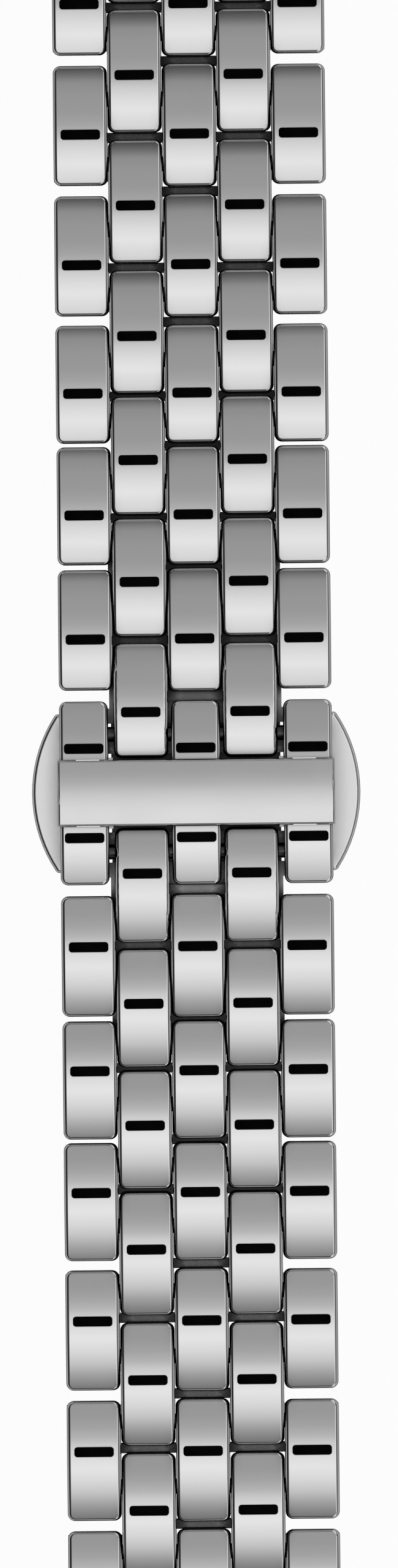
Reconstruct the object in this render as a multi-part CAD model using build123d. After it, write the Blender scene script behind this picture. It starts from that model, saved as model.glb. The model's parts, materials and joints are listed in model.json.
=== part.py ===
from build123d import *
import os
from math import asin, cos, degrees, sin, sqrt

# Five link watch bracelet with a butterfly clasp, in millimetres.
# X runs across the bracelet, Y along it, Z up. The origin is below the middle of the clasp,
# on the surface that the bracelet lies on, with the polished outer face up.

# Bracelet rows: five columns of heads, rows of three heads and of two heads by turns
columns = 5
bracelet_width = 18.0
column_gap = 0.02
link_thickness = 2.6
hinge_pitch = 4.335
outer_head_gap = 0.70
inner_head_gap = 0.50
head_shift = 0.365
crown_radius = 14.0
head_corner_radius = 0.5
head_edge_radius = 0.25
rows_per_strand = 6

# Rows near the clasp whose pins stand closer together, so that their heads almost meet
close_pitch = 4.035
close_head_gap = 0.25
first_close_row = 3
close_row_count = 4

# Heads of the row beside the cover bar, which end at the bar and stand midway between their pins
first_head_length = 7.58

# Hinges between rows
pin_radius = 0.5
pin_height = 1.2
pin_recess = 0.05
pin_edge = 0.08
held_clearance = 0.02
running_clearance = 0.05
nose_reach = 1.05
nose_edge_radius = 0.15
lip_slant = 0.25
web_length = 0.6
web_floor = 0.25
web_height = 1.3
lip_clearance = 0.08

# Arched base plate of the clasp, narrower than the bracelet by an inset at each side
base_rise = 0.8
base_reach = 16.5
base_inset = 3.4
base_thickness = 0.8
base_knuckle_radius = 0.9
base_lug_width = 2.3
base_pin_radius = 0.45
knuckle_clearance = 0.1

# Folding blades, each with a fork at its inner end that is wider than the rest of it
blade_gap = 0.1
blade_thickness = 0.65
blade_overhang = 0.1
fork_inset = 1.7
fork_reach = 5.6
fork_arm_width = 0.7
fork_window_length = 1.5
tip_distance = 3.1
tip_knuckle_radius = 0.5
tip_pin_radius = 0.25
tip_clearance = 0.12
tip_lug_inset = 1.25

# Half link beside the cover bar
half_head_relief = 0.364
nose_clearance = 0.2
bridge_thickness = 0.5
bridge_clearance = 0.15
bridge_overrun = 0.1
bridge_overlap = 0.08

# Centre housing and cover bar
bar_overhang = 0.14
bar_length = 4.33
bar_thickness = 2.8
bar_crown_radius = 13.5
bar_edge_radius = 0.15
bar_proud = 0.4
bar_clearance = 0.1
housing_inset = 0.165
peg_radius = 0.35
peg_length = 0.8
peg_wall = 1.1
peg_inset = 0.58

# Push buttons at the sides
button_length = 10.5
button_overhang = 1.86
button_arc_radius = 9.4
button_clearance = 0.65
button_bottom = 0.9
button_drop = 0.2
button_corner_radius = 0.3
button_edge_radius = 0.25
button_travel = 0.5
stem_length = 1.6
stem_height = 0.8
stem_lift = 0.3
tooth_width = 0.9
tooth_gap = 0.2
tooth_overhang = 0.35
tooth_height = 0.5
slide_clearance = 0.05

# Return spring between the button stems
spring_radius = 0.28
spring_wire_radius = 0.07
spring_pitch = 0.3
spring_length = 2.7
spring_gap = 0.55

# End link and spring bar that join the bracelet to a watch case
end_link_length = 6.0
tube_radius = 0.75
tube_inset = 0.5
plunger_radius = 0.58
plunger_length = 2.6
plunger_bore_depth = 3.4
tip_radius = 0.4
tip_reach = 0.9
tip_edge = 0.1

# How far cutting tools run past the piece that they cut
overrun = 1.0

# Sizes worked out from those above
head_width = (bracelet_width - (columns - 1) * column_gap) / columns
column_pitch = head_width + column_gap
middle_column = (columns + 1) / 2
pin_offset = hinge_pitch / 2
outer_head_length = 2 * hinge_pitch - outer_head_gap
step_height = web_height + lip_clearance
pin_length = bracelet_width - 2 * pin_recess
base_width = bracelet_width - 2 * base_inset
blade_width = base_width + 2 * blade_overhang
fork_width = bracelet_width - 2 * fork_inset
bridge_width = fork_width - 2 * (fork_arm_width + bridge_clearance)
tip_lug_width = bridge_width - 2 * tip_lug_inset
half_head_width = head_width - half_head_relief
housing_length = bar_length - 2 * housing_inset
housing_width = fork_width - 2 * blade_overhang
button_inner = fork_width / 2 + button_clearance
button_reach = bracelet_width / 2 + button_overhang
tooth_outer = fork_width / 2 - fork_arm_width - tooth_gap
tooth_inner = tooth_outer - tooth_width
peg_x = tooth_inner - button_travel - slide_clearance - peg_wall - peg_radius
peg_y = bar_length / 2 - peg_inset - peg_radius
stem_inner = spring_length / 2 + spring_gap
tube_length = bracelet_width - 2 * tube_inset
arch_radius = (base_reach**2 + base_rise**2) / (2 * base_rise)
arch_centre_height = base_rise - arch_radius
base_top_radius = arch_radius + base_thickness
blade_radius = base_top_radius + blade_gap


def arch_height(radius, distance):
    """Height of an arc of the clasp's arch at a distance from the middle."""
    return arch_centre_height + sqrt(radius**2 - distance**2)


tip_height = arch_height(base_top_radius, tip_distance) + tip_clearance + tip_knuckle_radius
clasp_pin_height = tip_height + tip_knuckle_radius + nose_clearance + pin_height
clasp_pin_distance = bar_length / 2 + bar_clearance + first_head_length / 2 - pin_offset
bar_top = clasp_pin_height - pin_height + link_thickness + bar_proud
bar_bottom = bar_top - bar_thickness
half_link_floor = clasp_pin_height - pin_height
stem_floor = base_rise + base_thickness + stem_lift
bar_distance = outer_head_gap / 2 + head_shift + end_link_length - link_thickness / 2


def is_close(number):
    """Whether a row, counted from 1 at the clasp, is one of the close rows."""
    return first_close_row <= number < first_close_row + close_row_count


def row_pitch(number):
    """Distance between the two pins of a row."""
    return close_pitch if is_close(number) else hinge_pitch


def head_length(number, column):
    """Length of the head that a row has in a column."""
    if number == 1:
        return first_head_length
    if is_close(number):
        return 2 * close_pitch - close_head_gap
    return 2 * hinge_pitch - (outer_head_gap if column in (1, columns) else inner_head_gap)


def strand_slope():
    """Downward slope, in radians, of the strand between the clasp and the flat end link."""
    stretch = sum(row_pitch(number) for number in range(1, 2 * rows_per_strand + 1))
    return asin((clasp_pin_height - pin_height) / stretch)


def strand_rows():
    """Inner pin's distance and height, slope and pitch of every row, and of the end link last."""
    rows = []
    distance, height = clasp_pin_distance, clasp_pin_height
    slope = strand_slope()
    for number in range(1, 2 * rows_per_strand + 1):
        pitch = row_pitch(number)
        rows.append((distance, height, slope, pitch))
        distance += pitch * cos(slope)
        height -= pitch * sin(slope)
    rows.append((distance, height, 0.0, hinge_pitch))
    return rows


def side_solid(outline, width, middle=0.0):
    """Solid of a side view outline in Y and Z, of a width about a middle in X."""
    face = Plane.YZ * make_face(outline)
    return Pos(middle, 0, 0) * extrude(face, amount=width / 2, both=True)


def cross_rod(radius, width, y, z, middle=0.0):
    """Round rod along X."""
    return Pos(middle, y, z) * Rotation(0, 90, 0) * Cylinder(radius, width)


def block(x, y, z):
    """Box between the lowest and highest x, y and z, given in pairs."""
    size = [high - low for low, high in (x, y, z)]
    middle = [(high + low) / 2 for low, high in (x, y, z)]
    return Pos(*middle) * Box(*size)


def head(length, width, middle, pitch, shift):
    """One head of a row: crowned on top and shifted along Y, with a nose round each hinge pin."""
    half = length / 2
    start, stop = shift - half, shift + half
    foot = pitch / 2 + nose_reach
    end_height = link_thickness - crown_radius + sqrt(crown_radius**2 - half**2)
    lower = Polyline(
        (start, end_height),
        (start, step_height + lip_slant),
        (-foot, step_height),
        (-foot, 0),
        (foot, 0),
        (foot, step_height),
        (stop, step_height + lip_slant),
        (stop, end_height),
    )
    crown = ThreePointArc((stop, end_height), (shift, link_thickness), (start, end_height))
    face = make_face([*lower.edges(), crown])
    face = fillet(face.vertices().group_by(Axis.Y)[0], nose_edge_radius)
    body = extrude(Plane.YZ * face, amount=width / 2, both=True)
    outline = RectangleRounded(width, length, head_corner_radius)
    body = body & extrude(Pos(0, shift, 0) * outline, link_thickness + overrun)
    top = body.faces().sort_by(Axis.Z)[-1]
    body = fillet(top.edges(), head_edge_radius)
    return Pos(middle, 0, 0) * body


def column_middle(column):
    """X of the middle of a column, counted from 1 at the left."""
    return (column - middle_column) * column_pitch


def row(number):
    """A row of heads in every other column, joined by webs, with its two hinge bores.

    It is built for the +Y strand. Rows of two heads have the odd numbers, and their heads stand
    nearer to the clasp than their pins do, while those of three stand farther from it. The webs
    lie under the gaps between the heads of the rows beside them.
    """
    three = number % 2 == 0
    pitch = row_pitch(number)
    shift = head_shift if three else -head_shift
    filled = range(1 if three else 2, columns + 1, 2)
    heads = []
    for column in filled:
        place = 0 if number == 1 else shift
        heads.append(head(head_length(number, column), head_width, column_middle(column), pitch, place))
    body = heads[0].fuse(*heads[1:])
    span = (column_middle(filled[0]), column_middle(filled[-1]))
    stretch = (-shift - web_length / 2, -shift + web_length / 2)
    body += block(span, stretch, (web_floor, web_height))
    bore = pin_radius + (held_clearance if three else running_clearance)
    for side in (-1, 1):
        body -= cross_rod(bore, bracelet_width + overrun, side * pitch / 2, pin_height)
    return body


def edged_rod(radius, width, edge, y, z):
    """Rod along X with its end edges taken off."""
    rod = Cylinder(radius, width)
    rod = chamfer(rod.edges(), edge)
    return Pos(0, y, z) * Rotation(0, 90, 0) * rod


def link_pin(y, z):
    """Hinge pin that runs through all five columns."""
    return edged_rod(pin_radius, pin_length, pin_edge, y, z)


def half_link():
    """Half row beside the cover bar, on a bridge that is hinged to the blade's tip."""
    cut_side = bar_length / 2 + bar_clearance / 2
    cut = block(
        (-bracelet_width, bracelet_width),
        (-bracelet_width, cut_side),
        (0, bar_top + overrun),
    )
    place = Pos(0, clasp_pin_distance - pin_offset, half_link_floor)
    side_middle = (bracelet_width - half_head_width) / 2
    bridge_low = half_link_floor - nose_clearance - bridge_thickness
    start = tip_distance - tip_knuckle_radius
    stretch = (start, clasp_pin_distance + bridge_overrun)
    bridge = (-bridge_width / 2, bridge_width / 2)
    body = block(bridge, stretch, (bridge_low, bridge_low + bridge_thickness))
    body += cross_rod(tip_knuckle_radius, tip_lug_width, tip_distance, tip_height)
    for middle in (-side_middle, 0, side_middle):
        whole = head(outer_head_length, half_head_width, middle, hinge_pitch, head_shift)
        body += place * whole - cut
        low = max(middle - half_head_width / 2, -bridge_width / 2)
        high = min(middle + half_head_width / 2, bridge_width / 2)
        body += block((low, high), stretch, (bridge_low, half_link_floor + bridge_overlap))
    bore = pin_radius + held_clearance
    body -= cross_rod(bore, bracelet_width + overrun, clasp_pin_distance, clasp_pin_height)
    bore = tip_pin_radius + running_clearance
    return body - cross_rod(bore, bracelet_width + overrun, tip_distance, tip_height)


def end_link():
    """Last link: two fingers on the last hinge pin, and a block that holds the spring bar."""
    start = outer_head_gap / 2 + head_shift
    turn = bar_distance
    stop = turn + link_thickness / 2
    outline = [
        Polyline((turn, link_thickness), (start, link_thickness), (start, 0), (turn, 0)),
        ThreePointArc((turn, 0), (stop, link_thickness / 2), (turn, link_thickness)),
    ]
    slab = side_solid(outline, bracelet_width)
    slab = fillet(slab.edges().filter_by(Axis.Y).group_by(Axis.Z)[-1], head_edge_radius)
    body = row(2 * rows_per_strand + 1) + slab
    bore = tube_radius + held_clearance
    return body - cross_rod(bore, bracelet_width + overrun, turn, link_thickness / 2)


def spring_bar_tube():
    """Tube of the spring bar, with a bore at each end for its tips, along the end link's bore."""
    place = (bar_distance, link_thickness / 2)
    tube = cross_rod(tube_radius, tube_length, *place)
    bore = plunger_radius + slide_clearance
    for side in (-1, 1):
        middle = side * (tube_length - plunger_bore_depth) / 2
        tube -= cross_rod(bore, plunger_bore_depth, *place, middle)
    return tube


def spring_bar_tip(side):
    """Sprung tip of the spring bar on one side, with the plunger that slides in the tube."""
    place = (bar_distance, link_thickness / 2)
    tip = Cylinder(tip_radius, tip_reach)
    tip = Pos(0, 0, tip_reach / 2) * chamfer(tip.edges().sort_by(Axis.Z)[-1], tip_edge)
    tip += Pos(0, 0, -plunger_length / 2) * Cylinder(plunger_radius, plunger_length)
    return Pos(side * bracelet_width / 2, *place) * Rotation(0, side * 90, 0) * tip


def arch_band(radius, thickness, low, high, width):
    """Plate bent to the clasp's arch between two distances from the middle."""
    distances = (low, (low + high) / 2, high)
    under = [(distance, arch_height(radius, distance)) for distance in distances]
    over = [(distance, arch_height(radius + thickness, distance)) for distance in distances]
    outline = [
        ThreePointArc(*under),
        Line(under[-1], over[-1]),
        ThreePointArc(*reversed(over)),
        Line(over[0], under[0]),
    ]
    return side_solid(outline, width)


def base_plate():
    """Arched plate that lies on the wrist, with two hinge lugs at each end."""
    body = arch_band(arch_radius, base_thickness, -base_reach, base_reach, base_width)
    gap = base_width / 2 - base_lug_width
    inner = base_reach - base_knuckle_radius - knuckle_clearance
    for end in (-1, 1):
        ends = sorted((end * inner, end * (base_reach + overrun)))
        body -= block((-gap, gap), ends, (-overrun, base_rise + base_thickness))
        for side in (-1, 1):
            middle = side * (gap + base_lug_width / 2)
            place = (end * base_reach, base_knuckle_radius, middle)
            body += cross_rod(base_knuckle_radius, base_lug_width, *place)
        bore = base_pin_radius + held_clearance
        body -= cross_rod(bore, base_width + overrun, end * base_reach, base_knuckle_radius)
    return body


def base_pins():
    """The two hinge pins that carry the blades."""
    width = base_width - 2 * pin_recess
    height = base_knuckle_radius
    ends = (-base_reach, base_reach)
    return [edged_rod(base_pin_radius, width, pin_edge, y, height) for y in ends]


def blade():
    """Folding blade on the +Y side, from the base's end to the fork that carries the half link."""
    body = arch_band(blade_radius, blade_thickness, tip_distance, base_reach, blade_width)
    body += arch_band(blade_radius, blade_thickness, tip_distance, fork_reach, fork_width)
    half = blade_width / 2
    inner = base_reach - base_knuckle_radius - knuckle_clearance
    top = base_rise + base_thickness + overrun
    knuckle = base_width - 2 * (base_lug_width + knuckle_clearance)
    for side in (-1, 1):
        cut = sorted((side * knuckle / 2, side * (half + overrun)))
        body -= block(cut, (inner, base_reach + overrun), (0, top))
    body += cross_rod(base_knuckle_radius, knuckle, base_reach, base_knuckle_radius)
    window = fork_width / 2 - fork_arm_width
    body += cross_rod(tip_knuckle_radius, fork_width, tip_distance, tip_height)
    stretch = (tip_distance - overrun, tip_distance + fork_window_length)
    body -= block((-window, window), stretch, (0, 2 * tip_height))
    bore = base_pin_radius + running_clearance
    body -= cross_rod(bore, base_width + overrun, base_reach, base_knuckle_radius)
    bore = tip_pin_radius + held_clearance
    return body - cross_rod(bore, fork_width + overrun, tip_distance, tip_height)


def blade_tip_pin():
    """Pin that joins the half link to the blade's fork."""
    width = fork_width - 2 * pin_recess
    return edged_rod(tip_pin_radius, width, pin_edge, tip_distance, tip_height)


def peg_places():
    """Places of the four pegs that hold the cover bar on the housing."""
    return [(x, y) for x in (-peg_x, peg_x) for y in (-peg_y, peg_y)]


def stem_space(clearance):
    """Lowest and highest y and z of a button's stem, widened by a clearance."""
    half = stem_length / 2 + clearance
    return (-half, half), (stem_floor - clearance, stem_floor + stem_height + clearance)


def centre_housing():
    """Block between the half links that guides both button stems and carries the cover bar."""
    half = housing_width / 2
    depth = housing_length / 2
    body = block((-half, half), (-depth, depth), (0, bar_bottom))
    body -= cross_rod(base_top_radius, housing_width + overrun, 0, arch_centre_height)
    body -= block((-half - overrun, half + overrun), *stem_space(slide_clearance))
    low = tooth_inner - button_travel - slide_clearance
    high = tooth_outer + slide_clearance
    window = (stem_floor - slide_clearance, stem_floor + tooth_height + slide_clearance)
    for span in ((low, high), (-high, -low)):
        body -= block(span, (-housing_length, housing_length), window)
    for x, y in peg_places():
        bore = Cylinder(peg_radius + held_clearance, 2 * (peg_length + held_clearance))
        body -= Pos(x, y, bar_bottom) * bore
    return body


def cover_bar():
    """Polished bar across the clasp, slightly crowned along the bracelet, on four pegs."""
    half = bar_length / 2
    edge_height = bar_top - bar_crown_radius + sqrt(bar_crown_radius**2 - half**2)
    sides = [(-half, edge_height), (-half, bar_bottom), (half, bar_bottom), (half, edge_height)]
    crown = ThreePointArc((half, edge_height), (0, bar_top), (-half, edge_height))
    body = side_solid([Polyline(*sides), crown], bracelet_width + 2 * bar_overhang)
    body = fillet(body.faces().sort_by(Axis.Z)[-1].edges(), bar_edge_radius)
    for x, y in peg_places():
        body += Pos(x, y, bar_bottom - peg_length / 2) * Cylinder(peg_radius, peg_length)
    return body


def push_button():
    """Right push button: a D-shaped wing outside, and a stem with a catch tooth inside."""
    half = button_length / 2
    arc_end = button_reach - button_arc_radius + sqrt(button_arc_radius**2 - half**2)
    sides = [(arc_end, half), (button_inner, half), (button_inner, -half), (arc_end, -half)]
    arc = ThreePointArc((arc_end, -half), (button_reach, 0), (arc_end, half))
    face = make_face([*Polyline(*sides).edges(), arc])
    top = half_link_floor - button_drop
    body = Pos(0, 0, button_bottom) * extrude(face, top - button_bottom)
    corners = body.edges().filter_by(Axis.Z).group_by(Axis.X)[-1]
    body = fillet(corners, button_corner_radius)
    rims = body.faces().filter_by(Axis.Z).edges()
    body = fillet(rims.filter_by(lambda edge: edge.center().X > button_inner), button_edge_radius)
    body += block((stem_inner, button_inner + button_travel), *stem_space(0))
    reach = housing_length / 2 + tooth_overhang
    heights = (stem_floor, stem_floor + tooth_height)
    return body + block((tooth_inner, tooth_outer), (-reach, reach), heights)


def button_spring():
    """Coil spring that pushes both buttons out again."""
    start = (-spring_length / 2, 0, stem_floor + stem_height / 2)
    path = Helix(spring_pitch, spring_length, spring_radius, center=start, direction=(1, 0, 0))
    section = Plane(origin=path @ 0, z_dir=path % 0) * Circle(spring_wire_radius)
    return sweep(section, path=path, is_frenet=True)


def write(name, shapes, place=None):
    """Write one node: a solid, or a group of separate solids, at its place."""
    solids = [solid for shape in shapes for solid in shape.solids()]
    placed = [(place or Location()) * solid for solid in solids]
    compound = Compound(children=placed) if len(placed) > 1 else placed[0]
    export_step(compound, f"parts/{name}.step")


def row_places():
    """Place of the middle of every row of the +Y strand, on its underside, and of the end link."""
    places = []
    for y, z, slope, pitch in strand_rows():
        y += pitch / 2 * cos(slope) - pin_height * sin(slope)
        z -= pitch / 2 * sin(slope) + pin_height * cos(slope)
        places.append(Pos(0, y, z) * Rotation(-degrees(slope), 0, 0))
    return places


def write_row(strand, number, place):
    """Write one row of a strand, counted from 1 at the clasp, and the pins that it carries."""
    pair = (number + 1) // 2
    link = row(number)
    if number % 2 == 1:
        write(f"{strand}_two_head_link_{pair}", [link], place)
        return
    write(f"{strand}_three_head_link_{pair}", [link], place)
    pins = [link_pin(side * row_pitch(number) / 2, pin_height) for side in (-1, 1)]
    write(f"{strand}_link_pins_{pair}", pins, place)


def main():
    os.makedirs("parts", exist_ok=True)
    for strand, turn in (("upper", 0), ("lower", 180)):
        flip = Rotation(0, 0, turn)
        write(f"{strand}_blade", [blade()], flip)
        write(f"{strand}_blade_tip_pin", [blade_tip_pin()], flip)
        write(f"{strand}_half_link", [half_link()], flip)
        write(f"{strand}_half_link_pin", [link_pin(clasp_pin_distance, clasp_pin_height)], flip)
        *rows, last = [flip * place for place in row_places()]
        for number, place in enumerate(rows, start=1):
            write_row(strand, number, place)
        write(f"{strand}_end_link", [end_link()], last)
        write(f"{strand}_spring_bar_tube", [spring_bar_tube()], last)
        for side_name, side in (("left", -1), ("right", 1)):
            tip_side = side if turn == 0 else -side
            write(f"{strand}_spring_bar_{side_name}_tip", [spring_bar_tip(tip_side)], last)
    write("base_plate", [base_plate()])
    write("base_hinge_pins", base_pins())
    write("centre_housing", [centre_housing()])
    write("cover_bar", [cover_bar()])
    write("right_push_button", [push_button()])
    write("left_push_button", [push_button()], Rotation(0, 0, 180))
    write("button_spring", [button_spring()])


main()
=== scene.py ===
"""Dresses the five link watch bracelet: polished and satin steel, black bars that paint the dark reflection
on the heads, and a studio.
"""

import json
import logging
import math
from collections.abc import Callable
from dataclasses import dataclass
from enum import Enum

import bmesh
import bpy
from mathutils import Matrix, Vector


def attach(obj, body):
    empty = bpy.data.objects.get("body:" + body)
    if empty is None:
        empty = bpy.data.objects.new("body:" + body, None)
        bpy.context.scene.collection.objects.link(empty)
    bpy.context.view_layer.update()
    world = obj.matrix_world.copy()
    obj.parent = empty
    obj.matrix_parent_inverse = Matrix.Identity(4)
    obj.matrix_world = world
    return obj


MM = 0.001

# The photograph's frame, in pixels, and where the middle of the clasp lies in it
PHOTO_WIDTH = 649
PHOTO_HEIGHT = 2560
CLASP_PIXEL = (320.0, 1293.5)
PIXELS_PER_MM = 24.72

# Direction across the bracelet, along its pins
SIDEWAYS = Vector((1.0, 0.0, 0.0))

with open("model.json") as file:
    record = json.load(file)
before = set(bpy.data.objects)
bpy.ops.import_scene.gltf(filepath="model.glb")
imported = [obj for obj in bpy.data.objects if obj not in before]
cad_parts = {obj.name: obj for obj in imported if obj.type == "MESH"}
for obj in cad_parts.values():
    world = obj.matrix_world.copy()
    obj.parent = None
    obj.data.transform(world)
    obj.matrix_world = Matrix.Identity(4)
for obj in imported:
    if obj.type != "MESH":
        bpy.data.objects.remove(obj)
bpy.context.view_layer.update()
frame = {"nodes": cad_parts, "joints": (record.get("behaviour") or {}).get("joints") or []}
log = logging.getLogger("bracelet")


class Strand(Enum):
    """The two halves of the bracelet, named as in the photograph."""

    UPPER = "upper"
    LOWER = "lower"


class Grain(Enum):
    """Which way the hairlines of a steel surface run."""

    ALONG = (60.0, 3.0, 60.0)
    ACROSS = (3.0, 60.0, 60.0)
    NONE = (20.0, 20.0, 20.0)


class NodeSheet:
    """A small helper that adds and links the nodes of one material or group."""

    def __init__(self, tree: bpy.types.NodeTree) -> None:
        """Keeps the tree that the nodes go to.

        Args:
            tree: the node tree to fill.
        """
        self.tree = tree

    def add(self, kind: str, **settings: object) -> bpy.types.Node:
        """Adds a node.

        Args:
            kind: the node's type name.
            settings: attributes to set on it.

        Returns:
            The new node.
        """
        node = self.tree.nodes.new(kind)
        for name, value in settings.items():
            setattr(node, name, value)
        return node

    def link(self, source: bpy.types.NodeSocket, target: bpy.types.NodeSocket) -> None:
        """Links one socket to another.

        Args:
            source: the output socket.
            target: the input socket.
        """
        self.tree.links.new(source, target)

    def math(
        self, operation: str, first: object, second: object = None, third: object = None
    ) -> bpy.types.NodeSocket:
        """Adds a Math node fed by numbers or sockets.

        Args:
            operation: the Math node's operation.
            first: number or socket for the first input.
            second: number or socket for the second input.
            third: number or socket for the third input.

        Returns:
            The node's output socket.
        """
        node = self.add("ShaderNodeMath", operation=operation)
        for index, value in enumerate((first, second, third)):
            if value is None:
                continue
            if isinstance(value, bpy.types.NodeSocket):
                self.link(value, node.inputs[index])
            else:
                node.inputs[index].default_value = value
        return node.outputs[0]

    def ramp(
        self, source: bpy.types.NodeSocket, stops: tuple[tuple[float, float], ...]
    ) -> bpy.types.NodeSocket:
        """Adds a grey Color Ramp.

        Args:
            source: the factor's socket.
            stops: pairs of position and grey level.

        Returns:
            The ramp's colour socket.
        """
        node = self.add("ShaderNodeValToRGB")
        elements = node.color_ramp.elements
        while len(elements) > 1:
            elements.remove(elements[-1])
        elements[0].position = stops[0][0]
        elements[0].color = (stops[0][1],) * 3 + (1.0,)
        for position, level in stops[1:]:
            elements.new(position).color = (level,) * 3 + (1.0,)
        self.link(source, node.inputs[0])
        return node.outputs[0]


class ShaderGroups:
    """The effects that several finishes share, each a node group built once."""

    # Samples of the ambient occlusion that places the painted shade in the gaps between links
    gap_shade_samples = 8
    hairline_detail = 4.0
    hairline_roughness = 0.7
    haze_detail = 2.0
    # Part of the cloud's range that is spread from the low to the high gloss
    haze_span = (0.3, 0.7)

    def __init__(self) -> None:
        """Builds the groups."""
        self.recess = self._gap_shade_mask()
        self.hairlines = self._hairlines()
        self.haze = self._haze()

    @staticmethod
    def _new(
        name: str, inputs: dict[str, float], outputs: dict[str, str]
    ) -> tuple[bpy.types.NodeTree, NodeSheet, bpy.types.Node, bpy.types.Node]:
        """Makes an empty group.

        Args:
            name: the group's name.
            inputs: float inputs with their usual values, beside a Vector input.
            outputs: output names with their socket types.

        Returns:
            The group, its sheet, and its input and output nodes.
        """
        group = bpy.data.node_groups.new(name, "ShaderNodeTree")
        group.interface.new_socket("Vector", in_out="INPUT", socket_type="NodeSocketVector")
        for label, value in inputs.items():
            socket = group.interface.new_socket(label, in_out="INPUT", socket_type="NodeSocketFloat")
            socket.default_value = value
        for label, kind in outputs.items():
            group.interface.new_socket(label, in_out="OUTPUT", socket_type=kind)
        sheet = NodeSheet(group)
        return group, sheet, sheet.add("NodeGroupInput"), sheet.add("NodeGroupOutput")

    def _gap_shade_mask(self) -> bpy.types.NodeTree:
        """Mask of the painted shade: 1 on open faces, 0 deep in the gaps between links, from ambient
        occlusion.
        """
        group, sheet, given, out = self._new(
            "painted_gap_shade", {"Reach": 1.2 * MM, "Closed": 0.45, "Open": 0.97}, {"Mask": "NodeSocketFloat"}
        )
        shade = sheet.add("ShaderNodeAmbientOcclusion", samples=self.gap_shade_samples)
        sheet.link(given.outputs["Reach"], shade.inputs["Distance"])
        spread = sheet.add("ShaderNodeMapRange", interpolation_type="SMOOTHSTEP")
        sheet.link(shade.outputs["AO"], spread.inputs["Value"])
        sheet.link(given.outputs["Closed"], spread.inputs["From Min"])
        sheet.link(given.outputs["Open"], spread.inputs["From Max"])
        sheet.link(spread.outputs["Result"], out.inputs["Mask"])
        return group

    def _hairlines(self) -> bpy.types.NodeTree:
        """Fine scratches, stretched by the Vector input that the material scales."""
        group, sheet, given, out = self._new(
            "hairlines",
            {"Scale": 900.0, "Contrast": 1.0},
            {"Height": "NodeSocketFloat", "Level": "NodeSocketFloat"},
        )
        coarse = sheet.add("ShaderNodeTexNoise", noise_dimensions="3D")
        sheet.link(given.outputs["Vector"], coarse.inputs["Vector"])
        sheet.link(given.outputs["Scale"], coarse.inputs["Scale"])
        coarse.inputs["Detail"].default_value = self.hairline_detail
        coarse.inputs["Roughness"].default_value = self.hairline_roughness
        centred = sheet.math("SUBTRACT", coarse.outputs["Fac"], 0.5)
        height = sheet.math("MULTIPLY", centred, given.outputs["Contrast"])
        sheet.link(height, out.inputs["Height"])
        sheet.link(coarse.outputs["Fac"], out.inputs["Level"])
        return group

    def _haze(self) -> bpy.types.NodeTree:
        """Slow change of gloss over a polished face, as handling leaves it."""
        group, sheet, given, out = self._new(
            "handling_haze", {"Scale": 220.0, "Low": 0.05, "High": 0.12}, {"Roughness": "NodeSocketFloat"}
        )
        cloud = sheet.add("ShaderNodeTexNoise", noise_dimensions="3D")
        sheet.link(given.outputs["Vector"], cloud.inputs["Vector"])
        sheet.link(given.outputs["Scale"], cloud.inputs["Scale"])
        cloud.inputs["Detail"].default_value = self.haze_detail
        spread = sheet.add("ShaderNodeMapRange")
        spread.inputs["From Min"].default_value = self.haze_span[0]
        spread.inputs["From Max"].default_value = self.haze_span[1]
        sheet.link(cloud.outputs["Fac"], spread.inputs["Value"])
        sheet.link(given.outputs["Low"], spread.inputs["To Min"])
        sheet.link(given.outputs["High"], spread.inputs["To Max"])
        sheet.link(spread.outputs["Result"], out.inputs["Roughness"])
        return group


@dataclass(frozen=True)
class SteelFinish:
    """A stainless steel surface: its grey, gloss, hairlines, and the painted shade that darkens it in the
    gaps between links.
    """

    name: str
    grey: float
    gap_shade_grey: float
    gloss_low: float
    gloss_high: float
    grain: Grain
    grain_depth: float
    gap_shade_reach: float = 1.2 * MM

    def build(self, groups: ShaderGroups) -> bpy.types.Material:
        """Makes the material.

        Args:
            groups: the shared shader groups.

        Returns:
            The finished material.
        """
        material = bpy.data.materials.new(self.name)
        material.use_nodes = True
        sheet = NodeSheet(material.node_tree)
        shader = material.node_tree.nodes["Principled BSDF"]
        shader.inputs["Metallic"].default_value = 1.0
        place = sheet.add("ShaderNodeTexCoord").outputs["Object"]
        stretch = sheet.add("ShaderNodeMapping")
        stretch.inputs["Scale"].default_value = self.grain.value
        sheet.link(place, stretch.inputs["Vector"])

        # Painted shade: the base colour darkens to the shade grey deep in the gaps between links and along
        # their edges
        recess = sheet.add("ShaderNodeGroup", node_tree=groups.recess)
        recess.inputs["Reach"].default_value = self.gap_shade_reach
        mix = sheet.add("ShaderNodeMix", data_type="RGBA")
        mix.inputs["A"].default_value = (self.gap_shade_grey,) * 3 + (1.0,)
        mix.inputs["B"].default_value = (self.grey,) * 3 + (1.0,)
        sheet.link(recess.outputs["Mask"], mix.inputs["Factor"])
        sheet.link(mix.outputs["Result"], shader.inputs["Base Color"])

        haze = sheet.add("ShaderNodeGroup", node_tree=groups.haze)
        haze.inputs["Low"].default_value = self.gloss_low
        haze.inputs["High"].default_value = self.gloss_high
        sheet.link(place, haze.inputs["Vector"])
        sheet.link(haze.outputs["Roughness"], shader.inputs["Roughness"])

        lines = sheet.add("ShaderNodeGroup", node_tree=groups.hairlines)
        sheet.link(stretch.outputs["Vector"], lines.inputs["Vector"])
        bump = sheet.add("ShaderNodeBump")
        bump.inputs["Strength"].default_value = 1.0
        bump.inputs["Distance"].default_value = self.grain_depth
        sheet.link(lines.outputs["Height"], bump.inputs["Height"])
        sheet.link(bump.outputs["Normal"], shader.inputs["Normal"])
        return material


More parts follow.
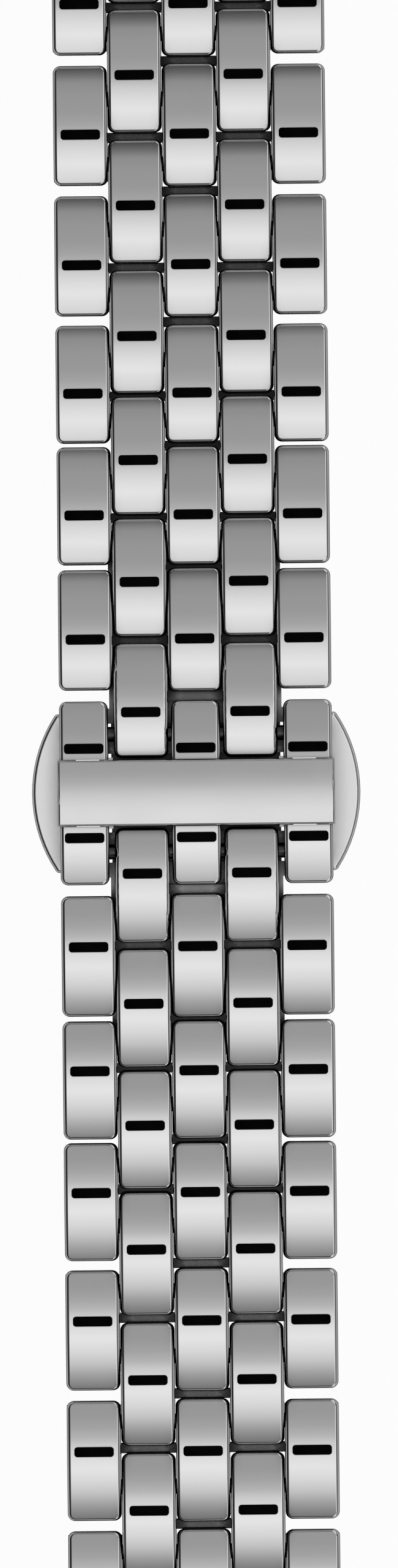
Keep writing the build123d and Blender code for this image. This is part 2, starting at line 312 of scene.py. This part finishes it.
@dataclass(frozen=True)
class PaintedReflectionFinish:
    """Near-black glossy surface of the painted reflection, with a slightly uneven speckled tone."""

    name: str
    grey: float
    gloss: float
    mirror: float = 0.03
    speckle_scale: float = 1800.0
    speckle_lift: float = 1.6
    speckle_span: tuple[float, float] = (0.3, 0.7)

    def build(self, groups: ShaderGroups) -> bpy.types.Material:
        """Makes the material.

        Args:
            groups: the shared shader groups.

        Returns:
            The finished material.
        """
        material = bpy.data.materials.new(self.name)
        material.use_nodes = True
        sheet = NodeSheet(material.node_tree)
        shader = material.node_tree.nodes["Principled BSDF"]
        shader.inputs["Specular IOR Level"].default_value = self.mirror
        shader.inputs["Roughness"].default_value = self.gloss
        place = sheet.add("ShaderNodeTexCoord").outputs["Object"]
        lines = sheet.add("ShaderNodeGroup", node_tree=groups.hairlines)
        lines.inputs["Scale"].default_value = self.speckle_scale
        sheet.link(place, lines.inputs["Vector"])
        dark, light = self.speckle_span
        tone = sheet.ramp(lines.outputs["Level"], ((dark, self.grey), (light, self.speckle_lift * self.grey)))
        sheet.link(tone, shader.inputs["Base Color"])
        return material


@dataclass
class Row:
    """One row of heads: where it lies and which columns it fills."""

    body: str
    name: str
    middle: Vector
    along: Vector
    columns: tuple[int, ...]
    mark_at: float

    @property
    def up(self) -> Vector:
        """The row's own upward direction."""
        up = SIDEWAYS.cross(self.along)
        return up if up.z > 0 else -up


@dataclass
class BlackBars:
    """The black bar on every head, a painted dark reflection made as thin pieces that ride on its row."""

    length: float = 2.6 * MM
    width: float = 0.66 * MM
    corner: float = 0.20 * MM
    edge: float = 0.012 * MM
    proud: float = 0.025 * MM
    sunk: float = 0.045 * MM
    crown_radius: float = 14.0 * MM
    crown_above_pins: float = 1.4 * MM
    column_pitch: float = 3.604 * MM
    half_column_pitch: float = 7.39 * MM
    middle_column: int = 3
    corner_steps: int = 6
    edge_steps: int = 2
    smooth_angle: float = math.radians(40)

    def model(self) -> bpy.types.Object:
        """Models one bar, lying at the origin, with rounded corners and soft edges.

        Returns:
            The modelled bar, to be copied onto the heads.
        """
        bpy.ops.object.select_all(action="DESELECT")
        bpy.ops.mesh.primitive_cube_add(size=1.0)
        bar = bpy.context.object
        bar.name = "bar_model"
        bar.scale = (self.length, self.width, self.proud + self.sunk)
        bar.location = (0.0, 0.0, (self.proud - self.sunk) / 2)
        bpy.ops.object.transform_apply(location=True, rotation=True, scale=True)
        self._bevel(bar, self._upright, self.corner, self.corner_steps)
        self._bevel(bar, self._on_top, self.edge, self.edge_steps)
        return bar

    def _upright(self, edge: bmesh.types.BMEdge) -> bool:
        """Whether an edge stands upright."""
        return abs(edge.verts[0].co.z - edge.verts[1].co.z) > self.proud

    @staticmethod
    def _on_top(edge: bmesh.types.BMEdge) -> bool:
        """Whether an edge lies on the bar's upper face."""
        return min(vertex.co.z for vertex in edge.verts) > 0

    @staticmethod
    def _bevel(
        piece: bpy.types.Object,
        wanted: Callable[[bmesh.types.BMEdge], bool],
        radius: float,
        segments: int,
    ) -> None:
        """Bevels the edges that a test picks.

        Args:
            piece: the object to shape.
            wanted: a test that takes an edge and says whether it is bevelled.
            radius: the bevel's width.
            segments: the bevel's steps.
        """
        bpy.ops.object.mode_set(mode="EDIT")
        bpy.ops.mesh.select_mode(type="EDGE")
        bpy.ops.mesh.select_all(action="DESELECT")
        mesh = bmesh.from_edit_mesh(piece.data)
        for edge in mesh.edges:
            edge.select = bool(wanted(edge))
        mesh.select_flush_mode()
        bmesh.update_edit_mesh(piece.data)
        bpy.ops.mesh.bevel(offset=radius, offset_type="OFFSET", segments=segments, affect="EDGES")
        bpy.ops.object.mode_set(mode="OBJECT")

    def column_x(self, row: Row, column: int) -> float:
        """X of a column's middle.

        Args:
            row: the row that the column is in.
            column: the column's number, from 1 to 5.

        Returns:
            The place in metres.
        """
        if row.name.endswith("half_link"):
            return (column - self.middle_column) / 2 * self.half_column_pitch
        return (column - self.middle_column) * self.column_pitch

    def dress(self, row: Row, master: bpy.types.Object, material: bpy.types.Material) -> bpy.types.Object:
        """Lays the bars on one row and lets them ride on it.

        Args:
            row: the row of heads.
            master: the modelled bar.
            material: the near-black of the painted reflection.

        Returns:
            The finished piece.
        """
        tilt = math.asin(row.mark_at / self.crown_radius)
        drop = self.crown_radius * (1 - math.cos(tilt))
        outward = row.along
        normal = (row.up * math.cos(tilt) + outward * math.sin(tilt)).normalized()
        side = normal.cross(SIDEWAYS).normalized()
        turn = Matrix((SIDEWAYS, side, normal)).transposed().to_4x4()
        bpy.ops.object.select_all(action="DESELECT")
        copies = []
        for column in row.columns:
            spot = row.middle + outward * row.mark_at + row.up * (self.crown_above_pins - drop)
            spot = Vector((self.column_x(row, column), spot.y, spot.z))
            copy = bpy.data.objects.new(f"{row.name}_bars", master.data.copy())
            copy.data.transform(Matrix.Translation(spot) @ turn)
            bpy.context.collection.objects.link(copy)
            copy.select_set(True)
            copies.append(copy)
        bpy.context.view_layer.objects.active = copies[0]
        bpy.ops.object.join()
        piece = bpy.context.object
        piece.data.name = piece.name
        piece.data.materials.clear()
        piece.data.materials.append(material)
        bpy.ops.object.shade_smooth_by_angle(angle=self.smooth_angle)
        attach(piece, row.body)
        log.info("bars on %s: %d", row.name, len(row.columns))
        return piece


@dataclass
class Bracelet:
    """The rows of both strands, read from the frame's hinges."""

    rows_per_strand: int = 6
    head_shift: float = 0.365 * MM
    three_head_mark: float = -0.665 * MM
    two_head_mark: float = -0.335 * MM
    first_row_mark: float = -0.80 * MM
    half_link_mark: float = 0.865 * MM
    pin_to_middle: float = 2.1675 * MM
    three_head_columns: tuple[int, ...] = (1, 3, 5)
    two_head_columns: tuple[int, ...] = (2, 4)

    def hinge(self, strand: Strand, number: int) -> Vector:
        """Place of a link hinge at rest.

        Args:
            strand: the strand that the hinge is in.
            number: the hinge's number, from 1 at the clasp.

        Returns:
            The hinge's place in metres.
        """
        name = f"{strand.value}_link_hinge_{number}"
        joint = next(joint for joint in frame["joints"] if joint["name"] == name)
        return Vector(joint["pos_m"])

    def rows(self, strand: Strand) -> list[Row]:
        """The strand's rows with their places.

        Args:
            strand: the strand to read.

        Returns:
            The half link and every row with heads.
        """
        first = self.hinge(strand, 1)
        outward = Vector((0.0, math.copysign(1.0, first.y), 0.0))
        name = f"{strand.value}_half_link"
        middle = first - outward * (self.pin_to_middle - self.head_shift)
        found = [Row(name, name, middle, outward, self.three_head_columns, self.half_link_mark)]
        for number in range(1, 2 * self.rows_per_strand + 1):
            inner, outer = self.hinge(strand, number), self.hinge(strand, number + 1)
            three = number % 2 == 0
            kind = "three" if three else "two"
            name = f"{strand.value}_{kind}_head_link_{(number + 1) // 2}"
            columns = self.three_head_columns if three else self.two_head_columns
            along = (outer - inner).normalized()
            shift = self.head_shift if three else -self.head_shift
            mark = self.three_head_mark if three else self.two_head_mark
            if number == 1:
                shift, mark = 0.0, self.first_row_mark
            middle = (inner + outer) / 2 + along * shift
            found.append(Row(name, name, middle, along, columns, mark))
        return found


class Wardrobe:
    """The finishes, and which CAD node wears which."""

    def __init__(self) -> None:
        """Builds every finish once."""
        groups = ShaderGroups()
        # Each steel's shade grey is painted shade that its colour darkens to in the gaps between links
        self.polished = SteelFinish(
            name="polished_steel", grey=0.78, gap_shade_grey=0.02, gloss_low=0.05, gloss_high=0.09,
            grain=Grain.NONE, grain_depth=0.0004 * MM, gap_shade_reach=0.9 * MM,
        ).build(groups)
        self.bar = SteelFinish(
            name="soft_polished_steel", grey=0.74, gap_shade_grey=0.10, gloss_low=0.13, gloss_high=0.18,
            grain=Grain.ACROSS, grain_depth=0.0006 * MM,
        ).build(groups)
        # Painted light: the buttons' steel is paler than the heads' steel and darkens less in its gaps, so
        # the buttons render brighter
        self.button = SteelFinish(
            name="brightened_polished_steel", grey=0.93, gap_shade_grey=0.55, gloss_low=0.16, gloss_high=0.20,
            grain=Grain.ACROSS, grain_depth=0.0006 * MM, gap_shade_reach=1.6 * MM,
        ).build(groups)
        self.satin = SteelFinish(
            name="satin_steel", grey=0.62, gap_shade_grey=0.08, gloss_low=0.26, gloss_high=0.36,
            grain=Grain.ALONG, grain_depth=0.0040 * MM,
        ).build(groups)
        self.turned = SteelFinish(
            name="turned_steel", grey=0.58, gap_shade_grey=0.08, gloss_low=0.22, gloss_high=0.30,
            grain=Grain.ACROSS, grain_depth=0.0020 * MM,
        ).build(groups)
        # Near-black of the bars that paint the dark reflection on each polished head
        self.painted_reflection = PaintedReflectionFinish(name="black_enamel", grey=0.001, gloss=0.35).build(groups)

    def choose(self, name: str) -> bpy.types.Material:
        """The steel that a CAD node wears.

        Args:
            name: the node's name.

        Returns:
            The material.
        """
        if name == "cover_bar":
            return self.bar
        if name.endswith("push_button"):
            return self.button
        if "pin" in name or "spring" in name:
            return self.turned
        if name.endswith("blade") or name in ("base_plate", "centre_housing"):
            return self.satin
        return self.polished

    def dress(self) -> None:
        """Gives every CAD node its steel."""
        for name, node in frame["nodes"].items():
            material = self.choose(name)
            if not node.material_slots:
                node.data.materials.append(material)
            for place in node.material_slots:
                place.link = "OBJECT"
                place.material = material
            log.info("%s wears %s", name, material.name)


@dataclass
class Studio:
    """Pale floor, soft surrounding light and the camera."""

    floor_radius: float = 3.0
    floor_grey: float = 0.93
    floor_glow: float = 0.965
    floor_sides: int = 96
    floor_roughness: float = 0.9
    camera_distance: float = 1.0
    plane_height: float = 5.0 * MM
    camera_roll: float = math.radians(-0.6)
    sensor: float = 36.0
    nearest_seen: float = 0.01
    farthest_seen: float = 20.0
    # Grey of the surroundings against their direction along the bracelet, from -Y to +Y
    along_stops: tuple[tuple[float, float], ...] = (
        (0.00, 1.00), (0.005, 1.00), (0.015, 0.04), (0.13, 0.04), (0.20, 0.30), (0.28, 0.70), (0.33, 0.87),
        (0.39, 1.00), (0.44, 0.92), (0.50, 0.76), (0.535, 0.58), (0.585, 0.46), (0.64, 0.40), (0.71, 0.385),
        (0.77, 0.34), (0.80, 0.16), (0.83, 0.05), (0.86, 0.60), (0.89, 0.60), (0.92, 0.04), (0.985, 0.04),
        (0.995, 1.00), (1.0, 1.00),
    )
    # Share of the side cards against the direction across, from -X to +X, and their grey
    across_stops: tuple[tuple[float, float], ...] = (
        (0.0, 1.0), (0.36, 1.0), (0.45, 0.0), (0.53, 0.0), (0.56, 1.0), (1.0, 1.0),
    )
    side_stops: tuple[tuple[float, float], ...] = (
        (0.0, 0.03), (0.5, 0.03), (0.55, 1.0), (0.62, 1.0), (0.68, 0.10), (1.0, 0.25),
    )
    # Share of the pale horizon against the upward part of the direction, and its grey
    horizon_stops: tuple[tuple[float, float], ...] = ((0.0, 1.0), (0.28, 1.0), (0.36, 0.0), (1.0, 0.0))
    horizon_grey: float = 0.55

    def build(self) -> None:
        """Makes floor, surroundings and camera."""
        self._floor()
        self._surroundings()
        self._camera()

    def _floor(self) -> None:
        """A round pale floor that the bracelet lies on."""
        bpy.ops.object.select_all(action="DESELECT")
        bpy.ops.mesh.primitive_circle_add(
            vertices=self.floor_sides, radius=self.floor_radius, fill_type="NGON"
        )
        floor = bpy.context.object
        floor.name = "studio_floor"
        material = bpy.data.materials.new("studio_floor")
        material.use_nodes = True
        sheet = NodeSheet(material.node_tree)
        shader = material.node_tree.nodes["Principled BSDF"]
        shader.inputs["Base Color"].default_value = (self.floor_grey,) * 3 + (1.0,)
        shader.inputs["Roughness"].default_value = self.floor_roughness
        shader.inputs["Specular IOR Level"].default_value = 0.0
        glow = sheet.add("ShaderNodeEmission")
        glow.inputs["Color"].default_value = (1.0, 1.0, 1.0, 1.0)
        path = sheet.add("ShaderNodeLightPath")
        seen = sheet.math("MAXIMUM", path.outputs["Is Camera Ray"], path.outputs["Is Transmission Ray"])
        share = sheet.math("MULTIPLY", seen, self.floor_glow)
        mix = sheet.add("ShaderNodeMixShader")
        sheet.link(share, mix.inputs["Fac"])
        sheet.link(shader.outputs["BSDF"], mix.inputs[1])
        sheet.link(glow.outputs["Emission"], mix.inputs[2])
        sheet.link(mix.outputs["Shader"], material.node_tree.nodes["Material Output"].inputs["Surface"])
        floor.data.materials.append(material)

    def _surroundings(self) -> None:
        """Soft grey and white cards round the bracelet, as one sky of greys."""
        world = bpy.data.worlds.new("studio")
        bpy.context.scene.world = world
        world.use_nodes = True
        sheet = NodeSheet(world.node_tree)
        background = world.node_tree.nodes["Background"]
        direction = sheet.add("ShaderNodeTexCoord").outputs["Generated"]
        split = sheet.add("ShaderNodeSeparateXYZ")
        sheet.link(direction, split.inputs["Vector"])
        along = sheet.math("MULTIPLY_ADD", split.outputs["Y"], 0.5, 0.5)
        across = sheet.math("MULTIPLY_ADD", split.outputs["X"], 0.5, 0.5)
        cards = sheet.ramp(along, self.along_stops)
        side_share = sheet.ramp(across, self.across_stops)
        side_grey = sheet.ramp(across, self.side_stops)
        mix = sheet.add("ShaderNodeMix", data_type="RGBA")
        sheet.link(side_share, mix.inputs["Factor"])
        sheet.link(cards, mix.inputs["A"])
        sheet.link(side_grey, mix.inputs["B"])
        horizon = sheet.add("ShaderNodeMix", data_type="RGBA")
        horizon.inputs["B"].default_value = (self.horizon_grey,) * 3 + (1.0,)
        sheet.link(sheet.ramp(split.outputs["Z"], self.horizon_stops), horizon.inputs["Factor"])
        sheet.link(mix.outputs["Result"], horizon.inputs["A"])
        path = sheet.add("ShaderNodeLightPath")
        white = sheet.add("ShaderNodeMix", data_type="RGBA")
        white.inputs["B"].default_value = (1.0, 1.0, 1.0, 1.0)
        sheet.link(path.outputs["Is Camera Ray"], white.inputs["Factor"])
        sheet.link(horizon.outputs["Result"], white.inputs["A"])
        sheet.link(white.outputs["Result"], background.inputs["Color"])
        background.inputs["Strength"].default_value = 1.0

    def _camera(self) -> None:
        """A long lens straight above, framed as the photograph is."""
        data = bpy.data.cameras.new("camera")
        camera = bpy.data.objects.new("camera", data)
        bpy.context.collection.objects.link(camera)
        x = (PHOTO_WIDTH / 2 - CLASP_PIXEL[0]) / PIXELS_PER_MM * MM
        y = (CLASP_PIXEL[1] - PHOTO_HEIGHT / 2) / PIXELS_PER_MM * MM
        turned = Matrix.Rotation(self.camera_roll, 3, "Z") @ Vector((x, y, 0.0))
        camera.location = (turned.x, turned.y, self.plane_height + self.camera_distance)
        camera.rotation_euler = (0.0, 0.0, self.camera_roll)
        data.sensor_width = self.sensor
        seen_length = PHOTO_HEIGHT / PIXELS_PER_MM * MM
        data.lens = self.sensor * self.camera_distance / seen_length
        data.clip_start = self.nearest_seen
        data.clip_end = self.farthest_seen
        bpy.context.scene.camera = camera
        bpy.context.scene.view_settings.view_transform = "Standard"


def main() -> None:
    """Builds the studio, the finishes and the pieces that the CAD model leaves to this script."""
    logging.basicConfig(level=logging.INFO, format="%(name)s: %(message)s")
    Studio().build()
    wardrobe = Wardrobe()
    wardrobe.dress()
    # Black bars that paint the dark reflection on each head
    bars = BlackBars()
    master = bars.model()
    bracelet = Bracelet()
    for strand in Strand:
        for row in bracelet.rows(strand):
            bars.dress(row, master, wardrobe.painted_reflection)
    bpy.data.objects.remove(master)


if __name__ == "__main__":
    main()
